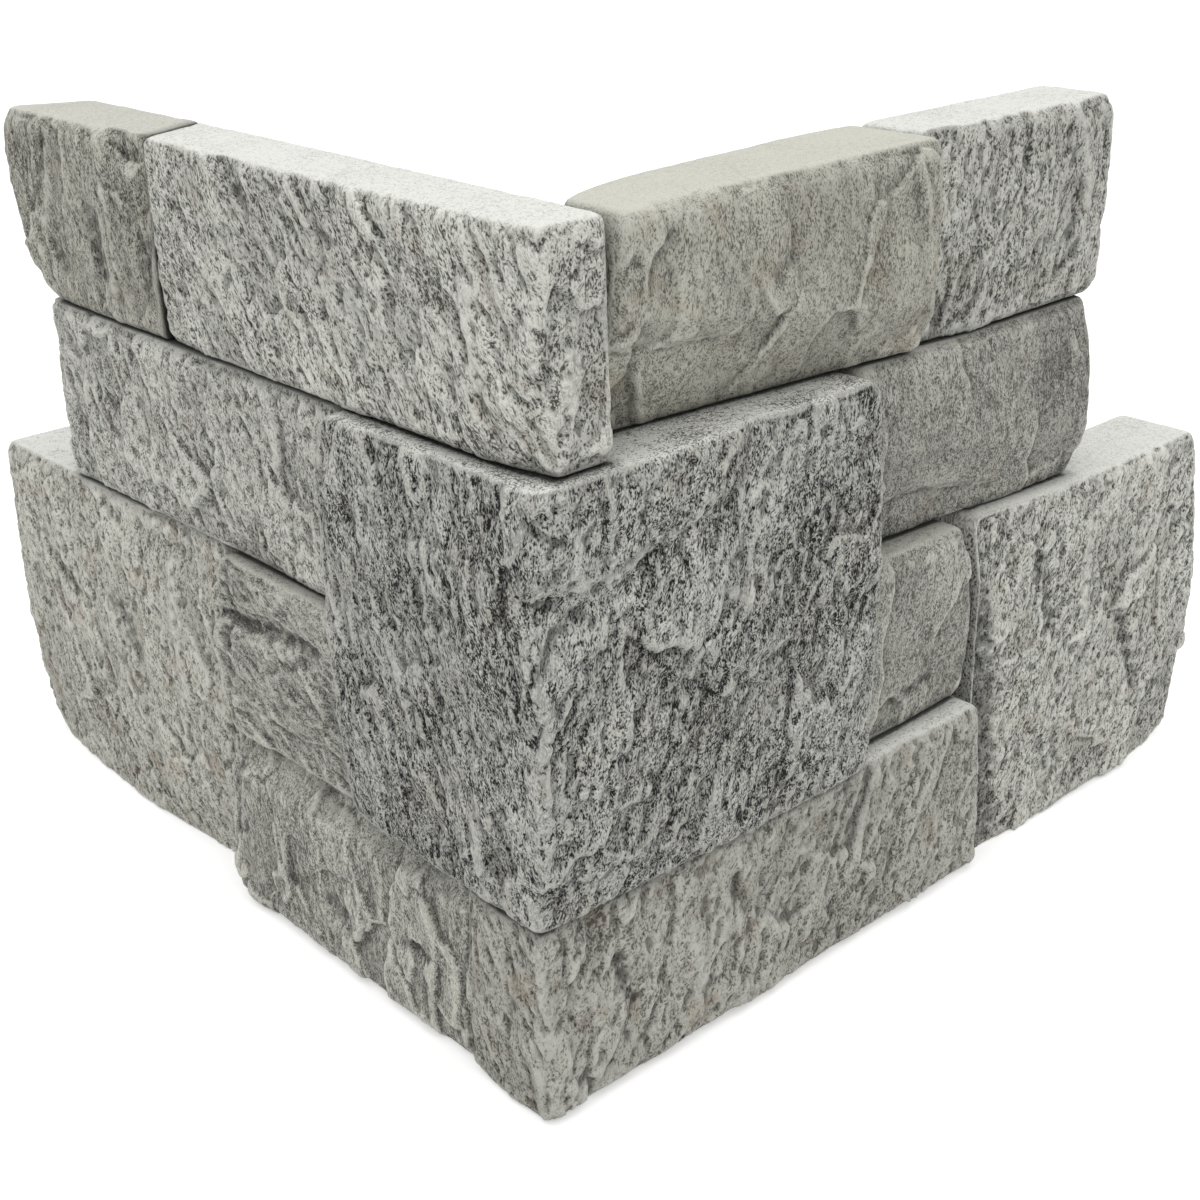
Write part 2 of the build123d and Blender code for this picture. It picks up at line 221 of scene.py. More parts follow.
def split_relief_tree():
    """Rounds off a stone's bevels as tumbling does, then cuts facets, ridges and pits in its faces."""
    tree = bpy.data.node_groups.new("split relief", "GeometryNodeTree")
    socket(tree, "Stone", "INPUT", "NodeSocketGeometry")
    for name, value in RELIEF_SIZES.items():
        kind = "NodeSocketInt" if isinstance(value, int) else "NodeSocketFloat"
        socket(tree, name, "INPUT", kind, value)
    for name, value in RELIEF_DIRECTIONS.items():
        socket(tree, name, "INPUT", "NodeSocketVector", value)
    socket(tree, "Finish", "INPUT", "NodeSocketMaterial")
    socket(tree, "Neighbours", "INPUT", "NodeSocketObject")
    socket(tree, "Stone", "OUTPUT", "NodeSocketGeometry")
    given = node(tree, "NodeGroupInput").outputs
    position = node(tree, "GeometryNodeInputPosition").outputs[0]
    normal = node(tree, "GeometryNodeInputNormal").outputs[0]

    worn = blurred(tree, position, given["Wear"])
    stone = node(tree, "GeometryNodeSetPosition", {"Geometry": given["Stone"], "Position": worn})

    outward = vector_math(tree, "NORMALIZE", blurred(tree, normal, OUTWARD_ROUNDS))
    facing = [
        steps(tree, vector_math(tree, "DOT_PRODUCT", outward, given[face]), 0.35, 0.8)
        for face in ("First face", "Second face")
    ]
    faces = math(tree, "MAXIMUM", *facing)
    up = node(tree, "ShaderNodeSeparateXYZ", {0: outward}).outputs[2]
    tops = steps(tree, up, 0.6, 0.95)

    place = seeded(tree, position, given["Seed"])
    grained = along_grain(tree, place, given["Grain"], given["Grain stretch"])
    swirl = middled(tree, noise(tree, grained, SWIRL_SIZE, 2.0, output=1))
    swirled = vector_math(tree, "ADD", grained, vector_math(tree, "SCALE", swirl, scale=SWIRL_REACH))

    cells = vector_math(tree, "SCALE", swirled, scale=math(tree, "DIVIDE", 1.0, given["Facet size"]))
    facets = node(tree, "ShaderNodeTexVoronoi",
                  {"Vector": cells, "Scale": 1.0, "Smoothness": FACET_SOFTNESS}, feature="SMOOTH_F1")
    tilt = middled(tree, facets.outputs["Color"])
    reach = vector_math(tree, "SUBTRACT", cells, facets.outputs["Position"])
    facet = vector_math(tree, "DOT_PRODUCT", tilt, reach)
    facet = math(tree, "MULTIPLY", math(tree, "MULTIPLY", facet, 2.0), given["Facet depth"])

    ridges = noise(tree, swirled, given["Ridge size"], 4.0, 0.55)
    ridges = math(tree, "MULTIPLY", math(tree, "SUBTRACT", ridges, 0.55), 2.0)
    ridges = math(tree, "MULTIPLY", ridges, given["Ridge depth"])

    pit = noise(tree, grained, given["Pit size"], 2.0, 0.5)
    pit = steps(tree, pit, 0.5, 0.34)
    cut = math(tree, "ADD", math(tree, "ADD", facet, ridges),
               math(tree, "MULTIPLY", pit, math(tree, "MULTIPLY", given["Pit depth"], -1.0)))
    share = math(tree, "MAXIMUM", faces, math(tree, "MULTIPLY", tops, given["Top relief"]))
    height = math(tree, "MULTIPLY", cut, share)

    kept = stored(tree, stone.outputs[0], "height", height)
    offset = vector_math(tree, "SCALE", outward, scale=math(tree, "MULTIPLY", height, MILLIMETRE))
    shaped = node(tree, "GeometryNodeSetPosition", {"Geometry": kept, "Offset": offset})

    # How far a point stands proud of the ground around it: hollows get dirt and painted shade, crests
    # wear and painted highlight
    proud = vector_math(tree, "SUBTRACT", position, blurred(tree, position, GROUND_ROUNDS))
    proud = math(tree, "DIVIDE", vector_math(tree, "DOT_PRODUCT", proud, normal), MILLIMETRE)
    marked = stored(tree, shaped.outputs[0], "proud", proud)

    # How near the other stones are, for the painted shade in the joints
    others = node(tree, "GeometryNodeObjectInfo", {"Object": given["Neighbours"]})
    nearest = node(tree, "GeometryNodeProximity", {0: others.outputs["Geometry"]})
    gap = math(tree, "DIVIDE", nearest.outputs["Distance"], MILLIMETRE)
    marked = stored(tree, marked, "gap", gap)

    # How far a point faces up, for the paler upper beds: sawdust and painted light from above
    lying = node(tree, "ShaderNodeSeparateXYZ", {0: blurred(tree, normal, LEVEL_ROUNDS)}).outputs[2]
    marked = stored(tree, marked, "lying", lying)

    solid = node(tree, "GeometryNodeRealizeInstances", {0: marked})
    finished = node(tree, "GeometryNodeSetMaterial",
                    {"Geometry": solid.outputs[0], "Material": given["Finish"]})
    node(tree, "NodeGroupOutput", {0: finished.outputs[0]})
    return tree


# Forms that the photograph shows on single faces

# In millimetres: how far a form's border wanders, how deep a groove is where its painted shade is full,
# how far a ledge's upper edge is worn off, and the widths of its foot of painted shade and its lip of
# wear and painted highlight.
BORDER_WANDER = 0.25
FULL_SHADE_DEPTH = 0.8
EDGE_WEAR = 1.1
FOOT_WIDTH = 1.8
LIP_WIDTH = 1.2

# How strongly the painted shade of a foot and the wear and painted highlight of a lip show, how much of
# a mark shows on average and how far that varies.
LEDGE_SHADE_AND_HIGHLIGHT = 0.7
MARK_SHOWN = 0.7
MARK_VARIES = 0.5


def groove(face, width, depth, *path):
    """A hollow along a path of points in the photograph, its sizes in millimetres."""
    return face, "groove", width, depth, path


def ridge(face, width, height, *path):
    return groove(face, width, -height, *path)


def ledge(face, width, depth, *path):
    """Lowers the ground on the right of its path, as it is walked, and runs out over its width."""
    return face, "step", width, depth, path


def on_face(name, face, points):
    """Points of the photograph on a stone's face plane: across and up, in millimetres."""
    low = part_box(name)[0]
    across, flat = (1, 0) if face == LEFT else (0, 1)
    plane = low[flat] + MILLIMETRE
    right = CAMERA_FORWARD.cross(CAMERA_UP)
    pixel = SENSOR_WIDTH / LENS / PICTURE
    centre = PICTURE / 2
    found = []
    for x, y in points:
        way = CAMERA_FORWARD + right * (x - centre) * pixel - CAMERA_UP * (y - centre) * pixel
        reach = (plane - CAMERA_PLACE[flat]) / way[flat]
        place = CAMERA_PLACE + way * reach
        found.append((place[across] / MILLIMETRE, place[2] / MILLIMETRE))
    return np.array(found)


def beside_path(places, path):
    """Distance of each place from a path, the side it lies on and how far it is past an end."""
    distance = np.full(len(places), np.inf)
    side = np.ones(len(places))
    past = np.zeros(len(places))
    for start, stop in zip(path, path[1:]):
        run = stop - start
        length = np.hypot(*run)
        gone = (places - start) @ run / length
        nearest = start + np.clip(gone, 0, length)[:, None] * run / length
        away = places - nearest
        far = np.hypot(away[:, 0], away[:, 1])
        closer = far < distance
        distance[closer] = far[closer]
        turn = run[0] * (places - start)[:, 1] - run[1] * (places - start)[:, 0]
        side[closer] = np.sign(turn[closer])
        past[closer] = (np.maximum(-gone, 0) + np.maximum(gone - length, 0))[closer]
    return distance, side, past


def ragged(places, reach):
    """Small uneven shifts, so that no form has a drawn edge."""
    u, v = places.T
    return reach * (0.5 * np.sin(1.7 * u + 0.9 * v) + 0.3 * np.sin(3.1 * v - 2.3 * u)
                    + 0.2 * np.sin(5.3 * u + 4.1 * v))


def soft(share):
    share = np.clip(share, 0, 1)
    return share * share * (3 - 2 * share)


def cut_forms(name, mesh, forms):
    """Cuts a stone's grooves, ridges and ledges, and keeps their painted shade, and their wear and
    painted highlight, as "scored".
    """
    count = len(mesh.vertices)
    places = np.empty(count * 3, dtype=np.float32)
    mesh.vertices.foreach_get("co", places)
    places = places.reshape(count, 3)
    facing = np.empty(count * 3, dtype=np.float32)
    mesh.vertex_normals.foreach_get("vector", facing)
    facing = facing.reshape(count, 3)
    moved = np.zeros_like(places)
    marks = np.zeros(count)
    for face, kind, width, depth, path in forms:
        outward = np.array(face)
        across = 1 if face == LEFT else 0
        flat = places[:, (across, 2)] / MILLIMETRE
        distance, side, past = beside_path(flat, on_face(name, face, path))
        distance = np.abs(distance + ragged(flat, BORDER_WANDER))
        if kind == "groove":
            share = soft(1 - distance / width)
            # Painted shade in a groove, and wear and painted highlight on a ridge
            mark = share * np.clip(depth / FULL_SHADE_DEPTH, -0.8, 1)
        else:
            if face == RIGHT:
                side = -side
            share = np.where(side > 0, soft(1 - distance / width), soft(1 - distance / EDGE_WEAR))
            share *= np.clip(1 - past / (0.3 * width + 1), 0, 1)
            # Painted shade at the ledge's foot, and wear and painted highlight on its lip
            dark = LEDGE_SHADE_AND_HIGHLIGHT * soft(1 - distance / FOOT_WIDTH)
            pale = -LEDGE_SHADE_AND_HIGHLIGHT * soft(1 - distance / LIP_WIDTH)
            mark = np.where(side > 0, dark, pale)
        shown = soft((facing @ outward - 0.2) / 0.4)
        moved -= (depth * MILLIMETRE * share * shown)[:, None] * outward
        marks += mark * shown * soft(MARK_SHOWN + ragged(flat[:, ::-1], MARK_VARIES))
    form_shade_and_highlight = mesh.attributes.new("form_shade_and_highlight", "FLOAT", "POINT")
    form_shade_and_highlight.data.foreach_set("value", marks.astype(np.float32))
    mesh.vertices.foreach_set("co", (places + moved).ravel())
    mesh.update()


def take_modifiers(piece):
    """Makes a piece's modifiers real in a mesh of its own."""
    seen = piece.evaluated_get(bpy.context.evaluated_depsgraph_get())
    mesh = bpy.data.meshes.new_from_object(seen)
    piece.modifiers.clear()
    old = piece.data
    piece.data = mesh
    bpy.data.meshes.remove(old)


def linked(name, data):
    made = bpy.data.objects.new(name, data)
    bpy.context.scene.collection.objects.link(made)
    return made


def closed_copy(name):
    """A copy of a plain stone with its loose triangles joined to one closed mesh."""
    mesh = bpy.data.objects[name].data.copy()
    welded = bmesh.new()
    welded.from_mesh(mesh)
    bmesh.ops.remove_doubles(welded, verts=welded.verts, dist=WELD)
    bmesh.ops.recalc_face_normals(welded, faces=welded.faces)
    welded.to_mesh(mesh)
    welded.free()
    mesh.materials.clear()
    return linked(name + "_split", mesh)


def stones_beside(name):
    """All the other stones as one object, to measure the joints by for their painted shade."""
    joined = bmesh.new()
    for other in STONES:
        if other != name:
            joined.from_mesh(bpy.data.objects[other].data)
    mesh = bpy.data.meshes.new("neighbours")
    joined.to_mesh(mesh)
    joined.free()
    return linked("neighbours", mesh)


def dressed_stone(name, relief, finish, sizes, directions, forms):
    """A stone of the panel with its split relief, in place of its plain solid."""
    piece = closed_copy(name)
    remesh = piece.modifiers.new("fine mesh", "REMESH")
    remesh.mode = "VOXEL"
    remesh.voxel_size = FACE_MESH
    take_modifiers(piece)
    cut_forms(name, piece.data, forms)

    cut = piece.modifiers.new("split relief", "NODES")
    cut.node_group = relief
    neighbours = stones_beside(name)
    values = {**RELIEF_SIZES, **RELIEF_DIRECTIONS, **sizes, **directions, "Finish": finish,
              "Neighbours": neighbours}
    for item in relief.interface.items_tree:
        if item.in_out == "INPUT" and item.name in values:
            cut[item.identifier] = values[item.name]
    take_modifiers(piece)
    bpy.data.meshes.remove(neighbours.data)

    thin = piece.modifiers.new("thinned", "DECIMATE")
    thin.ratio = KEPT_SHARE
    take_modifiers(piece)
    piece.data.shade_smooth()
    return piece


# Materials

# Sizes in millimetres of the speckle's swirls and of how far they carry it, of its patches and of
# the finest grain, and the size of its clumps as so many single spots.
SPECK_SWIRL_SIZE = 5.0
SPECK_SWIRL_REACH = 2.5
SPECK_PATCH_SIZE = 14.0
FINE_GRAIN_SIZE = 0.3
SPOTS_PER_CLUMP = 3.2

# Sizes in millimetres of the slow changes of tone, of the stains, and of the streaks, their bends
# and the areas that have them, with the streaks' stretch along the grain.
TONE_SIZE = 22.0
STAIN_SIZE = 9.0
STREAK_SIZE = 3.2
STREAK_BEND_SIZE = 4.0
STREAK_BEND_REACH = 2.0
STREAK_AREA_SIZE = 8.0
STREAK_STRETCH = 4.5
STAIN_SHIFT = (61.0, 17.0, 43.0)

BUMP_HEIGHT = 0.9 * MILLIMETRE


def speckle_group():
    """Pits and dusty crests of a split face, drawn out along its grain."""
    tree = bpy.data.node_groups.new("split speckle", "ShaderNodeTree")
    for name, kind, value in (
        ("Seed", "Float", 0.0), ("Grain", "Vector", (0.0, 0.0, 1.0)), ("Stretch", "Float", 2.2),
        ("Size", "Float", 1.3), ("Density", "Float", 0.5), ("Patchiness", "Float", 0.3),
    ):
        socket(tree, name, "INPUT", "NodeSocket" + kind, value)
    for name in ("Pits", "Crests", "Height", "Fine"):
        socket(tree, name, "OUTPUT", "NodeSocketFloat")
    given = node(tree, "NodeGroupInput").outputs
    place = node(tree, "ShaderNodeTexCoord").outputs["Object"]
    place = seeded(tree, place, given["Seed"])
    grained = along_grain(tree, place, given["Grain"], given["Stretch"])
    swirl = middled(tree, noise(tree, grained, SPECK_SWIRL_SIZE, 2.0, output=1))
    swirl = vector_math(tree, "SCALE", swirl, scale=SPECK_SWIRL_REACH)
    swirled = vector_math(tree, "ADD", grained, swirl)
    clumps = noise(tree, swirled, math(tree, "MULTIPLY", given["Size"], SPOTS_PER_CLUMP), 2.0, 0.5)
    main = noise(tree, swirled, given["Size"], 2.0, 0.6)
    main = math(tree, "ADD", math(tree, "MULTIPLY", main, 0.7), math(tree, "MULTIPLY", clumps, 0.3))
    patches = noise(tree, place, SPECK_PATCH_SIZE, 2.0, 0.5)
    patches = math(tree, "MULTIPLY", math(tree, "SUBTRACT", patches, 0.5), given["Patchiness"])
    patches = math(tree, "MULTIPLY", patches, 0.6)
    level = math(tree, "ADD", math(tree, "MULTIPLY", given["Density"], 0.2), 0.39)
    level = math(tree, "ADD", level, patches)
    height = math(tree, "SUBTRACT", main, level)
    pits = steps(tree, height, 0.03, -0.06)
    crests = steps(tree, height, 0.02, 0.11)
    fine = noise(tree, grained, FINE_GRAIN_SIZE, 2.0, 0.6)
    out = {"Pits": pits, "Crests": crests, "Height": height, "Fine": fine}
    node(tree, "NodeGroupOutput", out)
    return tree


def staining_group():
    """Slow changes of tone over a stone, patches of a second colour, and pale streaks of its grain."""
    tree = bpy.data.node_groups.new("staining", "ShaderNodeTree")
    socket(tree, "Seed", "INPUT", "NodeSocketFloat", 0.0)
    socket(tree, "Grain", "INPUT", "NodeSocketVector", (0.0, 0.0, 1.0))
    for name in ("Tone", "Patches", "Streaks"):
        socket(tree, name, "OUTPUT", "NodeSocketFloat")
    given = node(tree, "NodeGroupInput").outputs
    place = node(tree, "ShaderNodeTexCoord").outputs["Object"]
    place = seeded(tree, place, given["Seed"])
    tone = noise(tree, place, TONE_SIZE, 3.0, 0.55)
    patch = noise(tree, vector_math(tree, "ADD", place, STAIN_SHIFT), STAIN_SIZE, 3.0, 0.6)
    patch = steps(tree, patch, 0.54, 0.68)
    drawn = along_grain(tree, place, given["Grain"], STREAK_STRETCH)
    bend = noise(tree, drawn, STREAK_BEND_SIZE, 2.0, output=1)
    bend = vector_math(tree, "SCALE", bend, scale=STREAK_BEND_REACH)
    streak = noise(tree, vector_math(tree, "ADD", drawn, bend), STREAK_SIZE, 2.0, 0.5)
    streak = math(tree, "ABSOLUTE", math(tree, "SUBTRACT", streak, 0.5))
    streak = steps(tree, streak, 0.022, 0.002)
    present = steps(tree, noise(tree, place, STREAK_AREA_SIZE, 2.0, 0.5), 0.48, 0.62)
    streak = math(tree, "MULTIPLY", streak, present)
    node(tree, "NodeGroupOutput", {"Tone": tone, "Patches": patch, "Streaks": streak})
    return tree


def kept_value(tree, name):
    """A value that the stone's mesh keeps on its points."""
    return node(tree, "ShaderNodeAttribute", attribute_name=name).outputs["Fac"]


def shaded(tree, colour, share):
    return mix(tree, 1.0, colour, share, "MULTIPLY")


def group_in(tree, group, values):
    return node(tree, "ShaderNodeGroup", values, node_tree=group).outputs


def stone_finish(name, speckle, staining, look, seed, grain):
    """One stone's finish: its body colour, dark pits, dusty crests, upper beds made pale by sawdust and
    painted light from above, dirt and painted shade in hollows, painted shade in grooves and joints,
    and wear and painted highlight on crests.
    """
    finish = bpy.data.materials.new(name)
    finish.use_nodes = True
    tree = finish.node_tree
    shader = tree.nodes["Principled BSDF"]
    specks = group_in(tree, speckle, {
        "Seed": seed, "Grain": grain, "Stretch": look["stretch"], "Size": look["size"],
        "Density": look["density"], "Patchiness": look["patchiness"],
    })
    stains = group_in(tree, staining, {"Seed": seed, "Grain": grain})
    height, proud, gap, lying, form_shade_and_highlight = [
        kept_value(tree, kept) for kept in ("height", "proud", "gap", "lying", "form_shade_and_highlight")
    ]
    top = steps(tree, lying, 0.55, 0.95)
    # Wear and painted highlight on ridges and ledge lips
    wear_and_highlight = steps(tree, form_shade_and_highlight, -0.15, -0.9, 0.0, 0.6)

    # Body with its pits, crests, stains and streaks
    pits = math(tree, "MULTIPLY", specks["Pits"], math(tree, "SUBTRACT", 1.0, wear_and_highlight))
    colour = mix(tree, pits, look["body"], look["dark"])
    crest = math(tree, "MULTIPLY", specks["Crests"], look["crest"])
    colour = mix(tree, crest, colour, look["light"])
    stain = math(tree, "MULTIPLY", stains["Patches"], look["stain"])
    colour = mix(tree, stain, colour, look["second"], "MULTIPLY")
    tone = steps(tree, stains["Tone"], 0.3, 0.7, 1 - look["tone"], 1 + look["tone"])
    colour = shaded(tree, colour, tone)
    fine = steps(tree, specks["Fine"], 0.3, 0.7, 1 - look["fine"], 1 + look["fine"])
    colour = shaded(tree, colour, fine)
    streak = math(tree, "MULTIPLY", stains["Streaks"], look["streaks"])
    colour = mix(tree, streak, colour, look["light"])

    # Dirt and painted shade in the hollows, wear and painted highlight on the crests, and the drawn
    # forms: painted shade in grooves and ledge feet, wear and painted highlight on ridges and lips
    colour = shaded(tree, colour, steps(tree, height, -1.1, 0.5, 0.78, 1.08))
    colour = shaded(tree, colour, steps(tree, proud, -0.3, 0.05, 0.55, 1.0))
    worn = steps(tree, proud, 0.03, 0.22, 0.0, look["wear"])
    colour = mix(tree, worn, colour, look["light"])
    colour = mix(tree, wear_and_highlight, colour, look["light"])
    colour = shaded(tree, colour, steps(tree, form_shade_and_highlight, 0.1, 0.9, 1.0, 0.5))

    # Sawdust and painted light from above on the upper beds, then painted shade in the joints
    dust_and_top_light = math(tree, "SUBTRACT", 0.92, math(tree, "MULTIPLY", specks["Pits"], look["top pits"]))
    colour = mix(tree, math(tree, "MULTIPLY", top, dust_and_top_light), colour, look["top"])
    colour = shaded(tree, colour, steps(tree, gap, 0.0, 0.8, 0.12, 1.0))
    colour = shaded(tree, colour, steps(tree, gap, 0.3, 2.8, 0.62, 1.0))
    feed(tree, shader.inputs["Base Color"], colour)

    rough = math(tree, "ADD", 0.72, math(tree, "MULTIPLY", specks["Fine"], 0.2))
    feed(tree, shader.inputs["Roughness"], rough)
    shader.inputs["Specular IOR Level"].default_value = 0.3
    relief = math(tree, "ADD", specks["Height"], math(tree, "MULTIPLY", specks["Fine"], 0.25))
    relief = math(tree, "MULTIPLY", relief, steps(tree, top, 0.0, 1.0, 1.0, 0.25))
    bump = node(tree, "ShaderNodeBump",
                {"Strength": look["bump"], "Distance": BUMP_HEIGHT, "Height": relief})
    feed(tree, shader.inputs["Normal"], bump.outputs[0])
    return finish


# The looks: colours, the size of a speck in millimetres, and how strongly each effect shows
# Each look's top colour stands for the upper beds' sawdust and painted light from above together.
SPECKLED = {
    "body": linear(188, 188, 180), "dark": linear(70, 70, 64), "light": linear(224, 224, 216),
    "second": linear(214, 196, 182), "top": linear(220, 221, 215), "stretch": 2.0, "size": 0.36,
    "density": 0.4, "patchiness": 0.25, "crest": 0.8, "stain": 0.3, "tone": 0.05, "bump": 1.0,
    "wear": 0.6, "fine": 0.08, "streaks": 0.05, "top pits": 0.25,
}
SMOOTH = {
    **SPECKLED, "body": linear(162, 162, 153), "dark": linear(104, 103, 96),
    "light": linear(208, 207, 197), "size": 0.27, "density": 0.36, "crest": 0.45, "bump": 0.6,
    "wear": 0.45, "streaks": 0.09, "tone": 0.07,
}
LOOKS = {
    "brown_gray_smooth_stone": {
        **SMOOTH, "body": linear(164, 162, 151), "dark": linear(84, 82, 76),
        "top": linear(198, 198, 189), "density": 0.42,
    },
    "pale_gray_speckled_stone": {
        **SPECKLED, "body": linear(194, 194, 186), "dark": linear(84, 84, 78),
    },
    "warm_gray_smooth_stone": {
        **SMOOTH, "body": linear(168, 166, 154), "top": linear(198, 198, 187), "stain": 0.4,
    },
    "mid_gray_speckled_stone": {
        **SPECKLED, "body": linear(190, 190, 182), "dark": linear(100, 100, 94), "size": 0.34,
        "stretch": 1.6,
    },
    "mid_gray_smooth_stone": {
        **SMOOTH, "body": linear(152, 152, 145), "dark": linear(88, 88, 82),
        "top": linear(182, 182, 174), "density": 0.44, "top pits": 0.6,
    },
    "dark_gray_speckled_stone": {
        **SPECKLED, "body": linear(182, 183, 177), "dark": linear(34, 34, 31), "size": 0.3,
        "density": 0.48, "fine": 0.12, "crest": 0.95, "patchiness": 0.4, "top pits": 0.75,
    },
    "beige_gray_speckled_stone": {
        **SPECKLED, "body": linear(190, 188, 177), "dark": linear(112, 110, 102), "size": 0.42,
        "stretch": 1.5, "density": 0.34, "stain": 0.5, "crest": 0.5, "top pits": 0.5,
    },
}


# Studio

def set_camera():
    data = bpy.data.cameras.new("camera")
    data.sensor_width = SENSOR_WIDTH
    data.lens = LENS
    data.clip_start = 0.01
    right = CAMERA_FORWARD.cross(CAMERA_UP).normalized()
    turned = Matrix((right, CAMERA_UP, -CAMERA_FORWARD)).transposed().to_4x4()
    camera = linked("camera", data)
    camera.matrix_world = Matrix.Translation(CAMERA_PLACE) @ turned
    bpy.context.scene.camera = camera


def set_world():
    world = bpy.data.worlds.new("studio")
    bpy.context.scene.world = world
    world.use_nodes = True
    tree = world.node_tree
    background = tree.nodes["Background"]
    background.inputs["Color"].default_value = WHITE
    seen = node(tree, "ShaderNodeLightPath").outputs["Is Camera Ray"]
    feed(tree, background.inputs["Strength"], steps(tree, seen, 0.0, 1.0, SKY_LIGHT, SKY_SHOWN))


def set_lamp():
    """A square soft box over the panel, turned to its middle."""
    data = bpy.data.lights.new("overhead", "AREA")
    data.size = LAMP_SIZE
    data.energy = LAMP_POWER
    lamp = linked("overhead", data)
    lamp.location = LAMP_PLACE
    lamp.rotation_euler = (PANEL_MIDDLE - LAMP_PLACE).to_track_quat("-Z", "Y").to_euler()


def set_floor():
    mesh = bpy.data.meshes.new("floor")
    half = FLOOR_HALF
    corners = [(-half, -half, 0), (half, -half, 0), (half, half, 0), (-half, half, 0)]
    mesh.from_pydata(corners, [], [(0, 1, 2, 3)])
    floor = linked("floor", mesh)
    paint = bpy.data.materials.new("pale_floor")
    paint.use_nodes = True
    tree = paint.node_tree
    shader = tree.nodes["Principled BSDF"]
    shader.inputs["Base Color"].default_value = (0.9, 0.9, 0.9, 1.0)
    shader.inputs["Roughness"].default_value = 0.9
    shader.inputs["Specular IOR Level"].default_value = 0.0
    shader.inputs["Emission Color"].default_value = WHITE
    seen = node(tree, "ShaderNodeLightPath").outputs["Is Camera Ray"]
    feed(tree, shader.inputs["Emission Strength"], math(tree, "MULTIPLY", seen, FLOOR_GLOW))
    mesh.materials.append(paint)


# The stones

# Relief that differs on several stones
SMOOTH_SPLIT = {"Ridge depth": 0.7, "Pit depth": 0.15, "Facet size": 18.0}
TALL_SPLIT = {"Grain stretch": 1.5, "Ridge depth": 0.75}

# Each stone's slot, seed, grain, two split faces and the sizes of its relief that differ
STONES = {
    "top_left_end_stone": (
        "brown_gray_smooth_stone", 1, (0.0, 0.1, 1.0), (LEFT, LEFT_END),
        {"Pit depth": 0.25, "Ridge depth": 1.2, "Facet size": 11.0},
    ),
    "top_left_corner_stone": (
        "pale_gray_speckled_stone", 2, (0.1, 0.7, 1.0), (LEFT, RIGHT), {"Wear": 20},
    ),
    "top_right_inner_stone": (
        "warm_gray_smooth_stone", 3, (-0.1, 0.0, 1.0), (RIGHT, RIGHT), SMOOTH_SPLIT,
    ),
    "top_right_end_stone": (
        "pale_gray_speckled_stone", 4, (0.2, 0.0, 1.0), (RIGHT, RIGHT_END), {},
    ),
    "second_left_stone": (
        "mid_gray_speckled_stone", 5, (0.0, 0.35, 1.0), (LEFT, LEFT_END),
        {"Wear": 12, "Grain stretch": 1.7, "Ridge depth": 0.85},
    ),
    "second_right_stone": (
        "mid_gray_smooth_stone", 6, (-0.2, 0.0, 1.0), (RIGHT, RIGHT_END), SMOOTH_SPLIT,
    ),
    "corner_block": (
        "dark_gray_speckled_stone", 7, (0.3, 0.35, 1.0), (LEFT, RIGHT), {"Wear": 24},
    ),
    "third_left_stone": (
        "mid_gray_smooth_stone", 8, (0.0, 1.0, 0.4), (LEFT, LEFT),
        {"Pit depth": 0.4, "Ridge depth": 1.2, "Ridge size": 4.0},
    ),
    "third_right_stone": (
        "mid_gray_smooth_stone", 9, (0.2, 0.0, 1.0), (RIGHT, RIGHT), SMOOTH_SPLIT,
    ),
    "left_end_block": (
        "beige_gray_speckled_stone", 10, (0.0, 0.3, 1.0), (LEFT, LEFT_END), TALL_SPLIT,
    ),
    "right_end_block": (
        "pale_gray_speckled_stone", 11, (0.3, 0.0, 1.0), (RIGHT, RIGHT_END), TALL_SPLIT,
    ),
    "bottom_left_stone": (
        "mid_gray_smooth_stone", 12, (0.0, 0.2, 1.0), (LEFT, LEFT),
        {"Facet size": 11.0, "Facet depth": 1.0, "Ridge size": 5.0, "Ridge depth": 0.6,
         "Pit depth": 0.3},
    ),
    "bottom_corner_stone": (
        "beige_gray_speckled_stone", 13, (0.4, 0.4, 1.0), (LEFT, RIGHT), {},
    ),
}

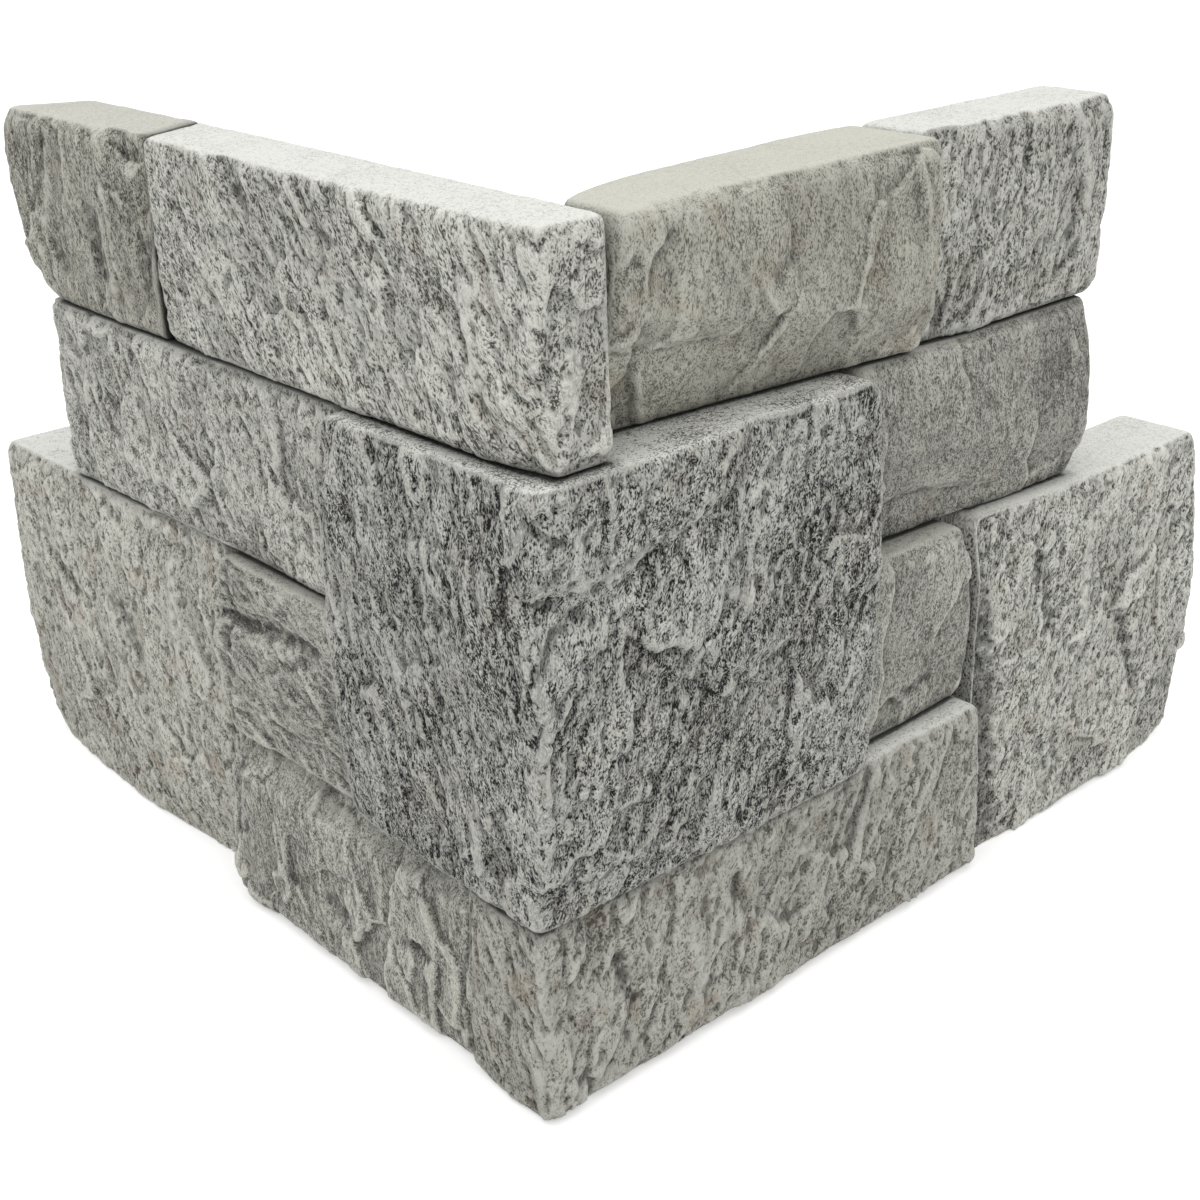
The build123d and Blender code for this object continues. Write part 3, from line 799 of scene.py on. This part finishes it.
# Each form's face, its width and its depth or height in millimetres, and its path in the photograph
FORMS = {
    "corner_block": [
        ledge(LEFT, 10.0, 1.1, (500, 580), (470, 562), (432, 544), (402, 540), (378, 528), (347, 524),
              (316, 520)),
        groove(LEFT, 1.3, 0.8, (433, 552), (441, 566), (449, 584)),
        groove(LEFT, 1.1, 0.6, (453, 561), (460, 572), (466, 590)),
        groove(LEFT, 1.8, 1.0, (499, 592), (503, 608), (499, 622)),
        ridge(LEFT, 2.5, 0.6, (478, 800), (480, 850), (486, 900)),
        groove(LEFT, 1.0, 0.5, (498, 790), (500, 860), (501, 905)),
        groove(RIGHT, 1.4, 0.8, (534, 512), (544, 536), (556, 545), (567, 549)),
        groove(RIGHT, 1.2, 0.6, (551, 560), (556, 548)),
        ledge(RIGHT, 11.0, 1.2, (528, 612), (560, 600), (600, 592), (640, 566), (700, 520), (722, 498)),
        ridge(RIGHT, 2.4, 0.4, (560, 594), (600, 586), (640, 558), (700, 512), (722, 490)),
        groove(RIGHT, 2.4, 1.6, (588, 612), (562, 634), (546, 656), (534, 682)),
        groove(RIGHT, 3.0, 1.1, (566, 600), (545, 618)),
        groove(RIGHT, 1.6, 0.9, (697, 500), (690, 512), (683, 524)),
        groove(RIGHT, 1.6, 0.7, (716, 540), (714, 556), (712, 574)),
        ledge(RIGHT, 12.0, 1.2, (748, 500), (751, 470), (752, 440), (758, 412)),
        ledge(RIGHT, 8.0, 1.2, (890, 456), (866, 461), (836, 474), (814, 490)),
        ridge(RIGHT, 3.0, 0.6, (722, 590), (745, 600)),
        groove(RIGHT, 1.2, 0.5, (640, 620), (620, 660), (600, 720)),
        groove(RIGHT, 1.5, 0.9, (566, 568), (556, 584), (546, 590)),
        groove(RIGHT, 1.1, 0.7, (668, 530), (660, 542), (664, 552)),
        groove(RIGHT, 1.0, 0.7, (648, 770), (650, 780)),
        ridge(RIGHT, 1.6, 0.5, (544, 700), (540, 760), (542, 800)),
        ridge(RIGHT, 2.2, 0.5, (548, 782), (560, 800), (566, 830)),
        ridge(LEFT, 1.6, 0.4, (330, 560), (334, 640), (338, 740), (345, 800)),
        groove(LEFT, 1.3, 0.7, (386, 770), (388, 806), (400, 832), (412, 852)),
        groove(LEFT, 1.0, 0.6, (412, 856), (428, 852), (436, 846)),
    ],
    "top_left_corner_stone": [
        ridge(RIGHT, 4.5, 0.9, (574, 356), (569, 378), (565, 402)),
        groove(RIGHT, 1.4, 0.6, (548, 330), (546, 365), (548, 398)),
        groove(RIGHT, 1.2, 0.5, (587, 350), (589, 380), (585, 410)),
        ridge(LEFT, 1.6, 0.5, (311, 178), (307, 232), (309, 284)),
        ridge(LEFT, 1.2, 0.4, (352, 190), (355, 240), (362, 290)),
        groove(LEFT, 2.0, 0.6, (318, 232), (322, 262)),
        groove(LEFT, 5.0, 0.7, (215, 150), (232, 190)),
        ridge(LEFT, 5.0, 0.6, (470, 300), (480, 380)),
    ],
    "top_left_end_stone": [
        ledge(LEFT, 9.0, 1.6, (140, 160), (130, 167), (116, 158), (104, 142)),
        groove(LEFT, 6.0, 1.6, (92, 222), (98, 250), (102, 268)),
        ridge(LEFT, 2.0, 0.9, (106, 190), (112, 230), (118, 270)),
        groove(LEFT, 5.0, 1.2, (140, 250), (146, 290)),
        groove(LEFT, 3.0, 0.7, (40, 140), (42, 170), (40, 200)),
        ridge(LEFT, 3.0, 0.6, (52, 180), (50, 220), (44, 250)),
        groove(LEFT, 5.0, 1.0, (50, 240), (62, 262)),
    ],
    "top_right_inner_stone": [
        ridge(RIGHT, 1.4, 0.4, (712, 232), (730, 262), (744, 285), (752, 288)),
        ridge(RIGHT, 1.0, 0.25, (648, 232), (652, 270), (646, 300)),
        ridge(RIGHT, 1.0, 0.25, (690, 240), (694, 290), (700, 310)),
        ledge(RIGHT, 14.0, 1.3, (618, 357), (680, 349), (738, 338)),
        ridge(RIGHT, 1.2, 0.4, (738, 338), (748, 318), (754, 290)),
        groove(RIGHT, 3.0, 0.6, (790, 258), (778, 276)),
        groove(RIGHT, 1.0, 0.7, (864, 336), (874, 338)),
        ridge(RIGHT, 1.2, 0.25, (846, 200), (856, 250), (850, 300)),
    ],
    "top_right_end_stone": [
        ridge(RIGHT, 3.0, 0.6, (1078, 110), (1082, 160), (1080, 200)),
        groove(RIGHT, 2.0, 0.8, (1070, 235), (1062, 262)),
        ridge(RIGHT, 1.5, 0.5, (1082, 212), (1074, 236), (1060, 258)),
        groove(RIGHT, 4.0, 0.8, (940, 305), (946, 318)),
    ],
    "second_left_stone": [
        ledge(LEFT, 10.0, 0.8, (88, 308), (86, 350), (84, 392), (88, 430)),
        groove(LEFT, 3.0, 0.7, (110, 400), (118, 405)),
        groove(LEFT, 1.4, 0.6, (90, 460), (102, 478), (118, 490)),
        ridge(LEFT, 2.0, 0.5, (118, 440), (150, 470), (190, 500), (230, 530)),
    ],
    "second_right_stone": [
        ledge(RIGHT, 13.0, 1.3, (888, 520), (912, 505), (936, 494), (960, 492), (1000, 487)),
        ridge(RIGHT, 1.4, 0.35, (1062, 310), (1066, 340), (1078, 352)),
        ridge(RIGHT, 1.2, 0.25, (905, 400), (915, 450), (930, 470)),
        groove(RIGHT, 2.5, 0.6, (985, 395), (995, 405)),
    ],
    "third_left_stone": [
        ledge(LEFT, 9.0, 1.6, (312, 664), (298, 652), (280, 645), (262, 634), (242, 634), (226, 622),
              (208, 618)),
        groove(LEFT, 1.1, 1.5, (206, 611), (226, 615), (243, 626), (262, 627), (281, 637), (300, 645),
               (316, 655)),
        groove(LEFT, 1.5, 1.0, (300, 660), (308, 668)),
        ledge(LEFT, 7.0, 1.0, (270, 722), (290, 738), (320, 748), (340, 764)),
        groove(LEFT, 1.3, 0.7, (222, 553), (227, 640), (231, 720)),
    ],
    "third_right_stone": [
        ridge(RIGHT, 1.2, 0.4, (950, 540), (955, 580), (948, 620)),
        groove(RIGHT, 3.0, 0.7, (900, 700), (930, 680)),
    ],
    "left_end_block": [
        ridge(LEFT, 4.0, 0.8, (70, 470), (110, 500), (160, 530)),
        groove(LEFT, 4.0, 0.9, (60, 560), (80, 590)),
        groove(LEFT, 5.0, 0.9, (120, 600), (140, 650)),
        ridge(LEFT, 4.0, 0.7, (170, 560), (180, 640), (190, 700)),
        groove(LEFT, 1.5, 0.9, (222, 553), (227, 640), (231, 720), (234, 780), (238, 848)),
    ],
    "right_end_block": [
        groove(RIGHT, 4.0, 0.9, (1040, 560), (1050, 620)),
        ridge(RIGHT, 4.0, 0.7, (1090, 520), (1080, 600)),
        groove(RIGHT, 4.0, 0.8, (1120, 620), (1130, 680)),
        groove(RIGHT, 9.0, 1.1, (977, 518), (978, 620), (980, 720), (982, 842)),
        groove(RIGHT, 6.5, 0.9, (977, 530), (978, 620), (980, 720), (982, 842)),
    ],
    "bottom_left_stone": [
        groove(LEFT, 3.0, 0.9, (308, 800), (322, 815)),
        groove(LEFT, 1.2, 0.6, (330, 815), (345, 830), (352, 850)),
        ledge(LEFT, 9.0, 0.8, (274, 876), (300, 880), (322, 870), (345, 880)),
        groove(LEFT, 4.0, 1.2, (330, 900), (350, 920)),
        groove(LEFT, 3.0, 1.0, (404, 940), (430, 955)),
        groove(LEFT, 1.3, 0.7, (231, 722), (234, 780), (238, 848)),
        groove(LEFT, 1.0, 0.8, (466, 899), (464, 969), (468, 1015), (474, 1058)),
    ],
    "bottom_corner_stone": [
        groove(LEFT, 1.2, 0.8, (527, 1060), (532, 1076), (536, 1100), (539, 1116)),
        groove(LEFT, 1.0, 0.8, (466, 899), (464, 969), (468, 1015), (474, 1058)),
        ledge(RIGHT, 9.0, 0.6, (800, 905), (798, 930), (792, 960)),
        groove(RIGHT, 3.0, 0.9, (735, 880), (745, 905)),
        groove(RIGHT, 3.0, 0.9, (620, 960), (630, 1000)),
        ridge(RIGHT, 4.0, 0.7, (690, 930), (700, 980)),
    ],
}

# How light some stones are beside the rest of their kind.
TONES = {
    "top_right_end_stone": 0.84,
    "top_right_inner_stone": 0.95,
    "corner_block": 0.84,
    "third_left_stone": 1.1,
    "third_right_stone": 1.12,
    "bottom_left_stone": 1.22,
    "bottom_corner_stone": 0.79,
}


def toned(look, share):
    """A look with the colours of its split faces made lighter or darker."""
    changed = {key: (*[share * c for c in look[key][:3]], 1.0) for key in ("body", "dark", "light")}
    return {**look, **changed}


# Dresses every stone, then sets the studio round the panel
relief = split_relief_tree()
speckle = speckle_group()
staining = staining_group()
for name, (slot, seed, grain, faces, sizes) in STONES.items():
    look = toned(LOOKS[slot], TONES.get(name, 1.0))
    finish = stone_finish(name + "_finish", speckle, staining, look, seed, grain)
    directions = {"Grain": grain, "First face": faces[0], "Second face": faces[1]}
    sizes = {"Seed": float(seed), **sizes}
    piece = dressed_stone(name, relief, finish, sizes, directions, FORMS.get(name, ()))
    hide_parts(name)
    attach(piece, "root")

set_camera()
set_world()
set_lamp()
set_floor()
bpy.context.scene.view_settings.view_transform = "Standard"
